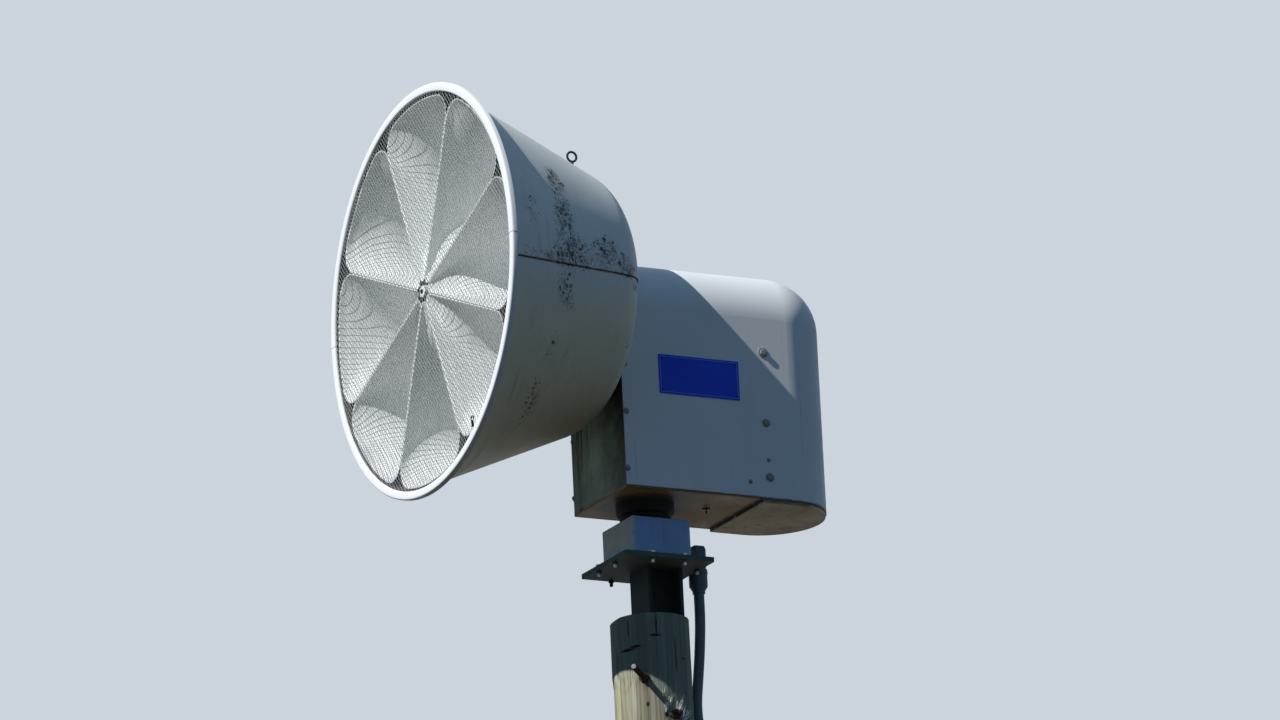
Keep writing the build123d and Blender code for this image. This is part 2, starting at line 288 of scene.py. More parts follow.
def makeLichenGroup():
    # ragged dark growths of four sizes, more of them where the density is higher
    group, given, result = newGroup("lichenSpots", {"Vector": "vector", "Density": "value"},
                                    {"Mask": "value", "Pale": "value"})
    point = given["Vector"]
    density = given["Density"]
    ripple = addNode("ShaderNodeTexNoise", {"Vector": point, "Scale": 90, "Detail": 5, "Roughness": 0.65})
    shrink = addNode("ShaderNodeVectorMath", {0: ripple.outputs["Color"], 3: 0.02}, operation="SCALE")
    warped = addNode("ShaderNodeVectorMath", {0: point, 1: shrink.outputs[0]}, operation="ADD").outputs[0]
    mask = times(spread(cloud(point, 40, 6, 0.78), 0.44, 0.66), spread(density, 0.25, 1.0, 0, 0.85))
    for scale, size, share in ((21, 0.34, 0.42), (44, 0.42, 0.52), (95, 0.50, 0.62), (210, 0.52, 0.66)):
        cell = addNode("ShaderNodeTexVoronoi", {"Vector": warped, "Scale": scale}).outputs
        chance = addNode("ShaderNodeSeparateColor", {0: cell["Color"]}).outputs[0]
        radius = times(spread(minus(times(density, share), chance), 0.0, 0.30), size)
        mask = larger(mask, spread(minus(radius, cell["Distance"]), 0.0, 0.16, 0, 0.95))
    wire(mask, result["Mask"])
    wire(times(spread(cloud(point, 130, 5, 0.75), 0.57, 0.65), spread(density, 0.30, 0.8, 0, 0.8)), result["Pale"])
    return group


def makeRustGroup():
    # steel or zinc with rust breaking through in patches
    group, given, result = newGroup(
        "rustPatches", {"Vector": "vector", "Metal": "colour", "Rust": "colour", "Amount": "value"},
        {"Color": "colour", "Mask": "value", "Height": "value"})
    point = given["Vector"]
    level = minus(0.86, times(given["Amount"], 0.5))
    patch = spread(minus(cloud(point, 26, 6, 0.65, 0.4), level), -0.05, 0.10)
    fine = cloud(point, 240, 5, 0.6)
    tone = spread(fine, 0.3, 0.7, 0.75, 1.1)
    shaded = addNode("ShaderNodeVectorMath", {0: given["Metal"], 3: tone}, operation="SCALE").outputs[0]
    wire(mixColour(patch, shaded, given["Rust"]), result["Color"])
    wire(patch, result["Mask"])
    wire(plus(fine, times(patch, 0.8)), result["Height"])
    return group


paintGroup = makePaintGroup()
lichenGroup = makeLichenGroup()
rustGroup = makeRustGroup()


# finishes

stains = {
    # painted shade for the downward faces of steel
    "paintedUnderShade": (0.030, 0.026, 0.018),
    "stainAndBounceWarmth": (1.18, 1.10, 0.84),           # tints the lower shell warmer: partly brown staining, partly painted warm light bounced up from the ground
    "shellBrown": (0.46, 0.38, 0.23),
    "brownLine": (0.14, 0.115, 0.07),
    "seamDirt": (0.055, 0.055, 0.045),
    "lichen": (0.045, 0.052, 0.040),
    "paleLichen": (0.60, 0.63, 0.60),
    # painted shadow under the seam's lap, also used for the mark behind the rim's joint
    "lapShadowAndJointMark": (0.012, 0.011, 0.010),
    "rimDust": (0.36, 0.37, 0.34),
    "rustTinge": (0.62, 0.44, 0.32),
    "greenFilm": (0.24, 0.34, 0.22),
    # black of the panel's runs and of its painted shade
    "panelRunsAndShade": (0.016, 0.017, 0.013),
    "panBlots": (0.22, 0.15, 0.06),
    "panFront": (0.66, 0.52, 0.36),         # tints the front floor
    "panDust": (0.20, 0.125, 0.05),
    # grease, and painted shade at the joint of the pan's floors
    "greaseAndShade": (0.022, 0.018, 0.012),
    "splashes": (0.035, 0.032, 0.025),
    "coverRuns": (0.33, 0.31, 0.26),
    # painted highlight on the base box's upright edges, partly wear
    "edgeHighlightAndWear": (0.55, 0.78, 0.80),
    # painted light on the base box's front faces
    "paintedFrontLight": (0.90, 0.80, 0.60),
    "boxFoot": (0.07, 0.08, 0.07),
}


def makePaint(name, paint, dirt, runs, specks, fading, bump=0.25, adorn=None):
    material, shader = newMaterial(name)
    point = objectPoint()
    out = useGroup(paintGroup, {"Vector": point, "Paint": paint, "Dirt": dirt, "Runs": runs, "Specks": specks,
                                "Fading": fading})
    colour, rough = out["Color"], out["Roughness"]
    if adorn:
        colour, rough = adorn(point, colour, rough)
    return finished(material, shader, colour, rough, out["Height"], bump)


def makeSteel(name, metal, rust, amount, metallic, roughness, shadedBelow=False):
    material, shader = newMaterial(name)
    out = useGroup(rustGroup, {"Vector": objectPoint(), "Metal": metal, "Rust": rust, "Amount": amount})
    colour = out["Color"]
    if shadedBelow:
        # painted shade: faces that point down are darkened nearly to black
        colour = mixColour(spread(facing()[2], -0.4, -0.8, 0, 0.92), colour, stains["paintedUnderShade"])
    wire(spread(out["Mask"], 0, 1, metallic, 0, False), shader["Metallic"])
    return finished(material, shader, colour, spread(out["Mask"], 0, 1, roughness, 0.85, False), out["Height"], 0.3)


# sheet shell in two halves, the upper one lapped over the lower at a slightly tilted seam
shellSizes = {
    "start": 0.009,          # its front edge is held inside the rim
    "frontDepth": 0.017,
    "frontRadius": 0.512,
    "taper": 22.6,
    "shoulder": 0.119,
    "backDepth": 0.490,
    "sheet": 0.002,
    "lowerStep": 0.0026,
    "lap": 0.009,
    "seamDrop": 0.042,
    "seamTilt": 4.8,
    "sides": 288,
}

# lichen on the shell: depth behind the mouth, angle up from level, their widths, and how thick it grows
lichenPatches = (
    (0.20, 26, 0.045, 13, 0.95), (0.205, 12, 0.060, 16, 1.0), (0.22, 1, 0.10, 10, 1.5), (0.17, -3, 0.15, 6, 0.55),
    (0.205, -14, 0.06, 20, 0.60), (0.18, -32, 0.05, 16, 0.52), (0.165, -52, 0.05, 24, 0.44),
    (0.34, 5, 0.10, 11, 0.85), (0.41, 1, 0.06, 9, 0.8), (0.10, 9, 0.07, 14, 0.50), (0.465, -6, 0.035, 6, 1.2),
    (0.45, -30, 0.03, 20, 0.4),
)


def growLichen(point, colour, rough):
    across, along, up = apart(point)
    depth = minus(along, mouthY)
    angle = bearing(minus(up, axisZ), maths("ABSOLUTE", across))
    density = 0
    for middle, level, width, reach, amount in lichenPatches:
        density = larger(density, times(times(hump(depth, middle, width), hump(angle, level, reach)), amount))
    density = times(density, spread(cloud(point, 9, 4, 0.6), 0.3, 0.7, 0.45, 1.35))
    grown = useGroup(lichenGroup, {"Vector": point, "Density": plus(times(density, 1.45), 0.04)})
    # water runs round the lower shell and leaves brown lines; below level the shell is also tinted warmer, partly brown
    # staining, partly painted warm light bounced up from the ground
    colour = mixColour(spread(angle, 0, -26, 0, 0.8), colour, tinted(colour, stains["stainAndBounceWarmth"]))
    browner = times(spread(angle, -34, -80), spread(depth, 0.02, 0.14))
    lines = spread(cloud(stretched(point, 1.5, 42, 1.5), 1.0, 5, 0.6), 0.54, 0.68)
    lines = times(lines, spread(angle, -28, -60, 0.0, 0.8))
    lines = times(lines, spread(cloud(point, 8, 3), 0.42, 0.60, 0.1, 1))
    lines = times(lines, spread(hump(depth, 0.13, 0.10), 0, 1, 0.12, 1))
    colour = mixColour(times(browner, 0.6), colour, stains["shellBrown"])
    colour = mixColour(lines, colour, stains["brownLine"])
    # a black line painted along the lap of the seam as the shadow under the upper sheet's edge, a dark mark just behind
    # the rim's level joint, and dark dirt in a patchy band above the lap
    fall = times(minus(depth, shellSizes["frontDepth"]), math.tan(math.radians(shellSizes["seamTilt"])))
    lift = minus(minus(up, axisZ - shellSizes["seamDrop"] - shellSizes["lap"]), fall)
    edge = times(hump(lift, -0.0008, 0.0040), spread(cloud(point, 30, 5, 0.7), 0.25, 0.5, 0.55, 1))
    edge = larger(edge, times(spread(depth, 0.026, 0.019), hump(angle, 1.0, 5.0)))
    above = times(hump(lift, 0.012, 0.028), spread(cloud(point, 55, 6, 0.75), 0.48, 0.66))
    above = times(above, spread(depth, 0.02, 0.2, 0.5, 1))
    colour = mixColour(times(above, 0.9), colour, stains["seamDirt"])
    colour = mixColour(times(grown["Mask"], 0.92), colour, stains["lichen"])
    colour = mixColour(grown["Pale"], colour, stains["paleLichen"])
    # the painted shadow of the seam's lap and the mark behind the rim's joint go on last
    return mixColour(edge, colour, stains["lapShadowAndJointMark"]), larger(rough, times(grown["Mask"], 0.9))


def soilCell(point, colour, rough):
    # a tinge of rust by the hub and grey dirt towards the rim
    across, along, up = apart(point)
    height = minus(up, axisZ)
    outer = times(spread(away(across, height), 0.40, 0.50, 0, 0.35), spread(cloud(point, 14, 4), 0.4, 0.7))
    tinge = times(hump(across, 0.10, 0.09), hump(height, 0.018, 0.014))
    tinge = times(tinge, spread(cloud(stretched(point, 6, 30, 40), 1.0, 4), 0.4, 0.62))
    return mixColour(times(tinge, 0.4), mixColour(outer, colour, stains["rimDust"]), stains["rustTinge"]), rough


def mouldPanel(point, colour, rough):
    # green growth on the front panel, black runs gathered towards the top that partly stand in for the horn's shade
    # there, painted shade that turns it blacker towards the cover's near side under the shell, and a darker foot
    across, along, up = apart(point)
    film = spread(cloud(point, 9, 5, 0.6), 0.32, 0.66)
    # painted shade: the panel turns blacker towards the cover's near side, under the shell
    wave = times(minus(cloud(point, 12, 5, 0.6), 0.5), 0.22)
    dark = spread(plus(across, wave), -0.05, 0.115)
    reach = spread(cloud(stretched(point, 24, 24, 0.5), 1.0, 2), 0.35, 0.65, 0, 0.25)
    fromTop = spread(minus(up, reach), panBottom - 0.06, panBottom + 0.24)
    runs = spread(cloud(stretched(point, 46, 46, 3.5), 1.0, 6, 0.65), 0.44, 0.62)
    runs = times(runs, larger(fromTop, dark))
    foot = spread(up, panBottom + 0.03, panBottom + 0.004, 0, 0.8)
    black = larger(times(runs, 0.9), larger(foot, times(dark, 0.92)))
    return mixColour(black, mixColour(times(film, 0.5), colour, stains["greenFilm"]), stains["panelRunsAndShade"]), rough


def stainPan(point, colour, rough):
    # brown blots and dust, grease round the turntable, a dark band painted at the joint of the two floors as the shade
    # of the step between them, and darker along its sides next to the cover's walls
    across, along, up = apart(point)
    blots = spread(cloud(point, 11, 5, 0.62, 0.5), 0.50, 0.66)
    fromAxis = minus(away(across, along), times(cloud(point, 16, 4, 0.6), 0.05))
    greaseAndShade = spread(fromAxis, 0.115, 0.070, 0, 0.96)
    # painted shade of the step between the two floors, broken up by noise
    paintedJointShade = times(hump(along, panJointY, 0.016), spread(cloud(point, 30, 5, 0.6), 0.3, 0.5, 0.5, 1))
    aside = spread(maths("ABSOLUTE", across), coverSide - 0.016, coverSide - 0.004, 0, 0.6)
    front = spread(along, panJointY + 0.002, panJointY - 0.002)
    colour = mixColour(times(blots, 0.6), colour, stains["panBlots"])
    colour = mixColour(front, colour, tinted(colour, stains["panFront"]))
    colour = mixColour(times(spread(fromAxis, 0.30, 0.10), 0.6), colour, stains["panDust"])
    return mixColour(larger(greaseAndShade, larger(paintedJointShade, aside)), colour, stains["greaseAndShade"]), rough


def dirtyFoot(point, colour, rough):
    # splashed dirt along the cover's lower edge and thin brown runs under its bolts
    low, high = coverBox[0].z, coverBox[1].z
    up = apart(point)[2]
    edge = spread(minus(up, times(cloud(point, 26, 5, 0.65), 0.010)), low + 0.003, low - 0.002, 0, 0.92)
    runs = spread(cloud(stretched(point, 8, 60, 1.2), 1.0, 4, 0.6), 0.62, 0.74)
    runs = times(runs, spread(up, high - 0.12, high - 0.3, 0, 0.35))
    return mixColour(runs, mixColour(edge, colour, stains["splashes"]), stains["coverRuns"]), rough


def wornBox(point, colour, rough):
    # the box's upright edges get a painted pale cyan highlight, partly rubbed wear; its front faces are painted paler
    # and warmer as light falling on them; it is darker at its foot
    across, along, up = apart(point)
    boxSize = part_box("base_box")[1]
    corner = times(spread(maths("ABSOLUTE", across), boxSize.x - 0.012, boxSize.x - 0.002),
                   spread(maths("ABSOLUTE", along), boxSize.y - 0.012, boxSize.y - 0.002))
    worn = times(corner, spread(cloud(point, 60, 4), 0.3, 0.6))
    # painted light: faces turned to the front are paler and warmer, in patches
    frontLight = times(spread(facing()[1], -0.5, -0.9), spread(cloud(point, 22, 4, 0.6), 0.2, 0.8, 0.5, 1))
    foot = times(spread(up, plateTop + 0.02, plateTop, 0, 0.6), spread(cloud(point, 30, 4), 0.35, 0.6))
    # painted highlight, partly rubbed wear, along the upright edges
    colour = mixColour(times(worn, 0.8), colour, stains["edgeHighlightAndWear"])
    return mixColour(foot, mixColour(frontLight, colour, stains["paintedFrontLight"]), stains["boxFoot"]), rough


woodColours = {
    "dark": (0.20, 0.185, 0.125),
    "light": (0.40, 0.375, 0.28),
    "brown": (0.30, 0.235, 0.125),
    "bleached": (0.62, 0.62, 0.50),
    "pore": (0.085, 0.075, 0.045),
    "streak": (0.13, 0.11, 0.065),
    # painted sunlight on the pole's lit side
    "paintedSunlight": (0.50, 0.53, 0.36),
    # painted shade on the pole's head, partly damp wood
    "shadeAndDampTint": (0.78, 0.93, 0.86),
    "shadedDampWood": (0.21, 0.245, 0.215),
    "scar": (0.010, 0.010, 0.007),
    "check": (0.016, 0.014, 0.010),
    "earlyRing": (0.10, 0.095, 0.07),
    "lateRing": (0.22, 0.21, 0.165),
    "rust": (0.16, 0.06, 0.035),
}


def makeWood(name):
    # weathered softwood: grain along z, bleached streaks, painted sunlight on its lit side, a head painted in shade and
    # partly damp, dark checks, and rings on its end
    material, shader = newMaterial(name)
    colours = woodColours
    point = objectPoint()
    across, along, up = apart(point)
    angle = bearing(along, across)
    fine = cloud(stretched(point, 190, 190, 4), 1.0, 5, 0.62)
    broad = cloud(stretched(point, 34, 34, 1.3), 1.0, 5, 0.6, 0.3)
    patch = spread(cloud(stretched(point, 5, 5, 0.9), 1.0, 3), 0.38, 0.64, 0, 0.55)
    streak = spread(cloud(stretched(point, 75, 75, 2.0), 1.0, 4, 0.6), 0.54, 0.66, 0, 0.55)
    # painted sunlight: a paler, yellower tone on the side that faces the key light
    paintedSunlight = times(spread(angle, -58, -84), spread(broad, 0.36, 0.52))
    base = mixColour(spread(broad, 0.34, 0.66), colours["dark"], colours["light"])
    base = mixColour(patch, base, colours["brown"])
    base = mixColour(times(times(spread(fine, 0.50, 0.70), spread(broad, 0.46, 0.66)), 0.8), base, colours["bleached"])
    base = mixColour(times(spread(fine, 0.49, 0.36), 0.6), base, colours["pore"])
    base = mixColour(streak, base, colours["streak"])
    base = mixColour(times(paintedSunlight, 0.5), base, colours["paintedSunlight"])
    # painted shade of the head's shadow, partly damp wood: darker and bluer above a line that drops lower round the
    # pole's other side
    drift = times(minus(cloud(stretched(point, 20, 20, 8), 1.0, 4), 0.5), 0.0144)
    line = spread(angle, -46, 20, poleTop - 0.146, poleTop - 0.308, False)
    headShadeAndDamp = spread(minus(plus(up, drift), line), -0.006, 0.006)
    shadedDampWood = mixColour(0.55, tinted(base, colours["shadeAndDampTint"]), colours["shadedDampWood"])
    base = mixColour(times(headShadeAndDamp, 0.97), base, shadedDampWood)
    for at, level, wide, tall in woodMarks:
        scar = times(times(hump(angle, at, wide), hump(up, level, tall)), 1.6, clamp=True)
        base = mixColour(scar, base, colours["scar"])
    crack = addNode("ShaderNodeAttribute", attribute_name="crack").outputs["Fac"]
    base = mixColour(spread(crack, 0.15, 0.8), base, colours["check"])
    wobble = plus(away(across, along), times(cloud(point, 12, 3), 0.012))
    rings = maths("ABSOLUTE", maths("SINE", times(wobble, 900)))
    rings = mixColour(rings, colours["earlyRing"], colours["lateRing"])
    base = mixColour(spread(facing()[2], 0.6, 0.85), base, rings)
    # rust that has run down below the upper bolt
    boltZ = poleTop - boltPlaces["upper"]["drop"]
    stain = times(hump(angle, boltPlaces["upper"]["angle"], 6), spread(up, boltZ - 0.05, boltZ - 0.01))
    stain = times(stain, spread(up, boltZ + 0.03, boltZ + 0.01))
    base = mixColour(times(stain, 0.45), base, colours["rust"])
    return finished(material, shader, base, 0.88, plus(fine, times(broad, 0.8)), 0.6, 0.0016)


# the long bolts through the pole: metres below its top, direction, and threaded end past the nut
boltPlaces = {
    "upper": {"drop": 0.170, "angle": -40, "tail": 0.119},
    "lower": {"drop": 0.267, "angle": 3, "tail": 0.023},
}

# dark scars on the wood: direction, height, half width in degrees, half height
woodMarks = ((-64, 7.353, 17, 0.0065), (-51, 7.359, 12, 0.006), (-22, 7.385, 12, 0.005),
             (-10.7, 7.177, 5, 0.013), (-36.6, 7.205, 3.5, 0.010), (-2, 7.172, 6, 0.008), (24, 7.33, 5, 0.004))

# paint: its colour, its dirt, how much runs, specks and fading show, the bump, and what is added to it
paints = {
    "rimWhite": ((0.83, 0.845, 0.84), (0.40, 0.40, 0.36), 0.10, 0.2, 0.1),
    "cellWhite": ((0.83, 0.845, 0.825), (0.40, 0.40, 0.36), 0.15, 0.35, 0.25, 0.15, soilCell),
    "meshGrey": ((0.34, 0.36, 0.36), (0.22, 0.22, 0.20), 0.3, 0.3, 0.5),
    "coverPaint": ((0.82, 0.83, 0.81), (0.36, 0.36, 0.32), 0.16, 0.4, 0.15, 0.15, dirtyFoot),
    "shellPaint": ((0.84, 0.84, 0.77), (0.24, 0.24, 0.19), 0.25, 0.8, 0.35, 0.25, growLichen),
    "panelPaint": ((0.76, 0.88, 0.68), (0.03, 0.035, 0.025), 0.5, 0.5, 0.7, 0.3, mouldPanel),
    "panPaint": ((0.80, 0.60, 0.33), (0.10, 0.07, 0.04), 0.6, 0.8, 0.9, 0.3, stainPan),
    "basePaint": ((0.34, 0.50, 0.78), (0.14, 0.16, 0.17), 0.5, 0.5, 0.7, 0.3, wornBox),
    "plateBlue": ((0.03, 0.09, 0.78), (0.03, 0.04, 0.12), 0.15, 0.25, 0.5),
    "paleBlue": ((0.20, 0.34, 0.85), (0.05, 0.06, 0.12), 0.2, 0.3, 0.5),
    # torn wood, whitened further as painted sunlight
    "tornWoodAndSunlight": ((0.92, 0.92, 0.86), (0.55, 0.50, 0.38), 0.3, 0.1, 0.2),
}

# steel and conduit: its colour, its rust, how much of it, then how metallic and rough it is, and painted shade below
steels = {
    "darkSteel": ((0.030, 0.042, 0.044), (0.035, 0.025, 0.018), 0.3, 0.0, 0.7),
    # the mounting plate gets painted shade on its downward faces
    "plateSteel": ((0.07, 0.13, 0.10), (0.07, 0.05, 0.035), 0.3, 0.0, 0.7, True),
    "hornInside": ((0.10, 0.085, 0.07), (0.09, 0.05, 0.03), 0.4, 0.0, 0.8),
    "zinc": ((0.40, 0.42, 0.42), (0.16, 0.09, 0.05), 0.35, 0.5, 0.5),
    "dullZinc": ((0.32, 0.34, 0.33), (0.12, 0.08, 0.05), 0.3, 0.0, 0.6),
    "rustySteel": ((0.030, 0.027, 0.025), (0.062, 0.030, 0.022), 0.75, 0.2, 0.75),
    "blackIron": ((0.014, 0.014, 0.013), (0.04, 0.022, 0.012), 0.25, 0.1, 0.7),
    "conduitGrey": ((0.135, 0.19, 0.225), (0.10, 0.13, 0.14), 0.3, 0.0, 0.5),
}

finishes = {"wood": makeWood("wood")}
finishes.update({name: makePaint(name, *values) for name, values in paints.items()})
finishes.update({name: makeSteel(name, *values) for name, values in steels.items()})

# which finish each CAD piece gets
cadFinish = {
    "darkSteel": ["post", "lifting_eye"],
    "plateSteel": ["mounting_plate"],
    "zinc": ["conduit_straps", "spindle"],
    "basePaint": ["base_box"],
    "blackIron": ["turntable_base", "turntable_ring", "port_plate"],
    "conduitGrey": ["conduit_elbow", "conduit_connector", "flexible_conduit", "conduit_coupling", "rigid_conduit"],
    "panPaint": ["floor_pan", "rear_floor"],
    "coverPaint": ["motor_cover"],
    "panelPaint": ["front_panel", "throat_ring"],
    "plateBlue": ["nameplate"],
}


def finishCadNodes():
    for finish, names in cadFinish.items():
        for name in names:
            node = nodes[name]
            node.data.materials.clear()
            node.data.materials.append(finishes[finish])


# helpers for modelling

def settle(piece, place=(0, 0, 0), turn=(0, 0, 0), scale=(1, 1, 1)):
    # moves a piece and bakes the move into its mesh
    piece.location = place
    piece.rotation_euler = turn
    piece.scale = scale
    pick(piece)
    bpy.ops.object.transform_apply(location=True, rotation=True, scale=True)


def pick(piece):
    bpy.ops.object.select_all(action="DESELECT")
    piece.select_set(True)
    bpy.context.view_layer.objects.active = piece


def editAll(piece):
    pick(piece)
    bpy.ops.object.mode_set(mode="EDIT")
    bpy.ops.mesh.select_mode(type="VERT")
    bpy.ops.mesh.select_all(action="SELECT")


def turnFacesOut():
    # and leaves edit mode
    bpy.ops.mesh.select_all(action="SELECT")
    bpy.ops.mesh.normals_make_consistent(inside=False)
    bpy.ops.object.mode_set(mode="OBJECT")


def keepFaces(piece, test):
    # leaves the piece in edit mode
    pick(piece)
    bpy.ops.object.mode_set(mode="EDIT")
    bpy.ops.mesh.select_mode(type="FACE")
    bpy.ops.mesh.select_all(action="DESELECT")
    mesh = bmesh.from_edit_mesh(piece.data)
    for face in mesh.faces:
        face.select_set(not test(face))
    bmesh.update_edit_mesh(piece.data)
    bpy.ops.mesh.delete(type="FACE")


def applyModifiers(piece):
    pick(piece)
    for modifier in list(piece.modifiers):
        bpy.ops.object.modifier_apply(modifier=modifier.name)


def paint(piece, finish, body, slot, *replaced):
    piece.data.materials.clear()
    piece.data.materials.append(finishes[finish])
    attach(piece, body)
    if replaced:
        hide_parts(*replaced)


def added(operator, **settings):
    bpy.ops.object.select_all(action="DESELECT")
    operator(**settings)
    return bpy.context.active_object


def bevelled(piece, width):
    bevel = piece.modifiers.new("edges", "BEVEL")
    bevel.width = width
    bevel.segments = 2
    applyModifiers(piece)


def thickened(piece, thickness):
    solid = piece.modifiers.new("thickness", "SOLIDIFY")
    solid.thickness = thickness
    solid.offset = 0
    applyModifiers(piece)


def outward(angle):
    # level direction at an angle about the pole
    return Vector((math.cos(angle), math.sin(angle), 0))


def poleRadius(height):
    return poleSizes["foot"] + (poleSizes["top"] - poleSizes["foot"]) * height / poleTop


def wrapGrid(name, rows, closeAlong=False, smoothTo=40):
    # wraps a flat grid into a tube of rings, joins its seam and closes its ends
    rows = np.asarray(rows, float)
    if closeAlong:
        rows = np.concatenate((rows, rows[:1]))
    rows = np.concatenate((rows, rows[:, :1]), axis=1)
    piece = added(bpy.ops.mesh.primitive_grid_add, x_subdivisions=rows.shape[1] - 1, y_subdivisions=rows.shape[0] - 1,
                  size=2)
    piece.name = name
    piece.data.vertices.foreach_set("co", rows.reshape(-1))
    editAll(piece)
    bpy.ops.mesh.remove_doubles(threshold=0.000002)
    if not closeAlong:
        bpy.ops.mesh.fill_holes(sides=0)
    turnFacesOut()
    pick(piece)
    bpy.ops.object.shade_smooth_by_angle(angle=math.radians(smoothTo))
    return piece


def turned(name, profile, sides=32, smoothTo=35):
    # a turned shape about z, from pairs of radius and height
    turns = np.linspace(0, 2 * math.pi, sides, endpoint=False)
    rows = [[(radius * math.cos(t), radius * math.sin(t), height) for t in turns] for radius, height in profile]
    return wrapGrid(name, rows, smoothTo=smoothTo)


def joinPieces(name, parts):
    bpy.ops.object.select_all(action="DESELECT")
    for part in parts:
        part.select_set(True)
    bpy.context.view_layer.objects.active = parts[0]
    bpy.ops.object.join()
    parts[0].name = name
    return parts[0]


def copyTo(source, name, place, direction, spin=0.0):
    # a copy of a piece modelled about z, turned to point along a direction, with its own mesh
    turn = Vector(direction).to_track_quat("Z", "Y").to_matrix().to_4x4()
    mesh = source.data.copy()
    mesh.transform(Matrix.Translation(place) @ turn @ Matrix.Rotation(spin, 4, "Z"))
    piece = bpy.data.objects.new(name, mesh)
    bpy.context.scene.collection.objects.link(piece)
    return piece


def scrap(*sources):
    for source in sources:
        bpy.data.objects.remove(source)


def hexPrism(name, across, low, high, chamfer=0.0012):
    piece = added(bpy.ops.mesh.primitive_cylinder_add, vertices=6, radius=across / math.sqrt(3), depth=high - low,
                  location=(0, 0, (low + high) / 2))
    piece.name = name
    settle(piece, piece.location.copy())
    bevelled(piece, chamfer)
    return piece


def hexBolt(name, across, headHeight, washerRadius, washerThickness):
    hole = washerRadius * 0.55
    outline = [(hole, 0), (washerRadius, 0), (washerRadius, washerThickness * 0.7),
               (washerRadius * 0.96, washerThickness), (hole, washerThickness)]
    head = hexPrism(name + "Head", across, washerThickness, washerThickness + headHeight)
    return joinPieces(name, [turned(name + "Washer", outline, 28), head])


def eased(xs, ys, x):
    # monotone curve through a few values
    xs, ys = np.array(xs, float), np.array(ys, float)
    steps = np.diff(xs)
    slopes = np.diff(ys) / steps
    leans = np.zeros(len(xs))
    leans[0], leans[-1] = slopes[0], slopes[-1]
    for i in range(1, len(xs) - 1):
        if slopes[i - 1] * slopes[i] > 0:
            first, second = 2 * steps[i] + steps[i - 1], steps[i] + 2 * steps[i - 1]
            leans[i] = (first + second) / (first / slopes[i - 1] + second / slopes[i])
    i = int(min(max(np.searchsorted(xs, x) - 1, 0), len(xs) - 2))
    t = (x - xs[i]) / steps[i]
    return float((1 + 2 * t) * (1 - t) ** 2 * ys[i] + t * (1 - t) ** 2 * steps[i] * leans[i]
                 + t * t * (3 - 2 * t) * ys[i + 1] + t * t * (t - 1) * steps[i] * leans[i + 1])


# the eight horn cells, flared tubes with petal-shaped mouths

cellSizes = {
    # depth, outer radius, how far the sides stand in, rounding of the corners and of the inner end
    "stations": ((0.009, 0.505, 0.0004, 0.058, 0.0155), (0.020, 0.501, 0.0015, 0.072, 0.026),
                 (0.037, 0.4915, 0.004, 0.092, 0.050), (0.060, 0.4795, 0.007, 0.108, 0.066),
                 (0.100, 0.460, 0.014, 0.114, 0.074), (0.170, 0.430, 0.025, 0.098, 0.072),
                 (0.270, 0.389, 0.038, 0.076, 0.062), (0.400, 0.338, 0.052, 0.050, 0.050)),
    "wall": 0.004,
    "count": 8,
    "rings": 30,
}


def cellSection(depth, inset):
    table = cellSizes["stations"]
    depths = [row[0] for row in table]
    outer, side, corner, end = (eased(depths, [row[k] for row in table], depth) for k in (1, 2, 3, 4))
    outer, side, corner, end = outer - inset, side + inset, corner - inset, end - inset
    half = math.pi / cellSizes["count"]
    reach = outer - corner
    lean = half - math.asin((side + corner) / reach)
    centre = (side + end) / math.sin(half)
    points = [(outer * math.cos(t), outer * math.sin(t)) for t in np.linspace(0, lean, 7)[:-1]]
    points += [(reach * math.cos(lean) + corner * math.cos(t), reach * math.sin(lean) + corner * math.sin(t))
               for t in np.linspace(lean, half + math.pi / 2, 13)]
    square = half + math.pi / 2
    start, stop = np.array(points[-1]), np.array((centre + end * math.cos(square), end * math.sin(square)))
    points += [tuple(start + (stop - start) * t) for t in np.linspace(0, 1, 9)[1:]]
    points += [(centre + end * math.cos(t), end * math.sin(t)) for t in np.linspace(square, math.pi, 10)[1:]]
    return points + [(x, -y) for x, y in points[-2:0:-1]]


def makeCells():
    wall = cellSizes["wall"]
    front, back = cellSizes["stations"][0][0], cellSizes["stations"][-1][0]
    steps = front + (back - front) * np.linspace(0, 1, cellSizes["rings"]) ** 1.6
    steps[0] = front + 0.0009
    rows = [(depth, depth, 0) for depth in steps[::-1]]
    rows += [(front + up * wall, front + 0.0002, wall * share) for up, share in ((0.06, 0.14), (0, 0.5), (0.06, 0.86))]
    rows += [(depth, depth, wall) for depth in steps]
    for number in range(cellSizes["count"]):
        turn = 2 * math.pi * number / cellSizes["count"]
        rings = []
        for depth, shapeDepth, inset in rows:
            ring = np.array(cellSection(shapeDepth, inset))
            x = ring[:, 0] * math.cos(turn) - ring[:, 1] * math.sin(turn)
            z = ring[:, 0] * math.sin(turn) + ring[:, 1] * math.cos(turn)
            rings.append(np.stack((x, np.full(len(x), mouthY + depth), axisZ + z), axis=1))
        cell = wrapGrid(f"hornCell{number + 1}", rings, True, 50)
        paint(cell, "cellWhite", "head", "cell_white", f"horn_cell_{number + 1}")


# wire screen across the mouth, flattened diamond mesh

screenSizes = {
    "width": 0.0137,      # one diamond, across and up
    "height": 0.0162,
    "strand": 0.0010,
    "thickness": 0.0007,
    "radius": 0.518,      # its edge is held inside the rolled rim
}


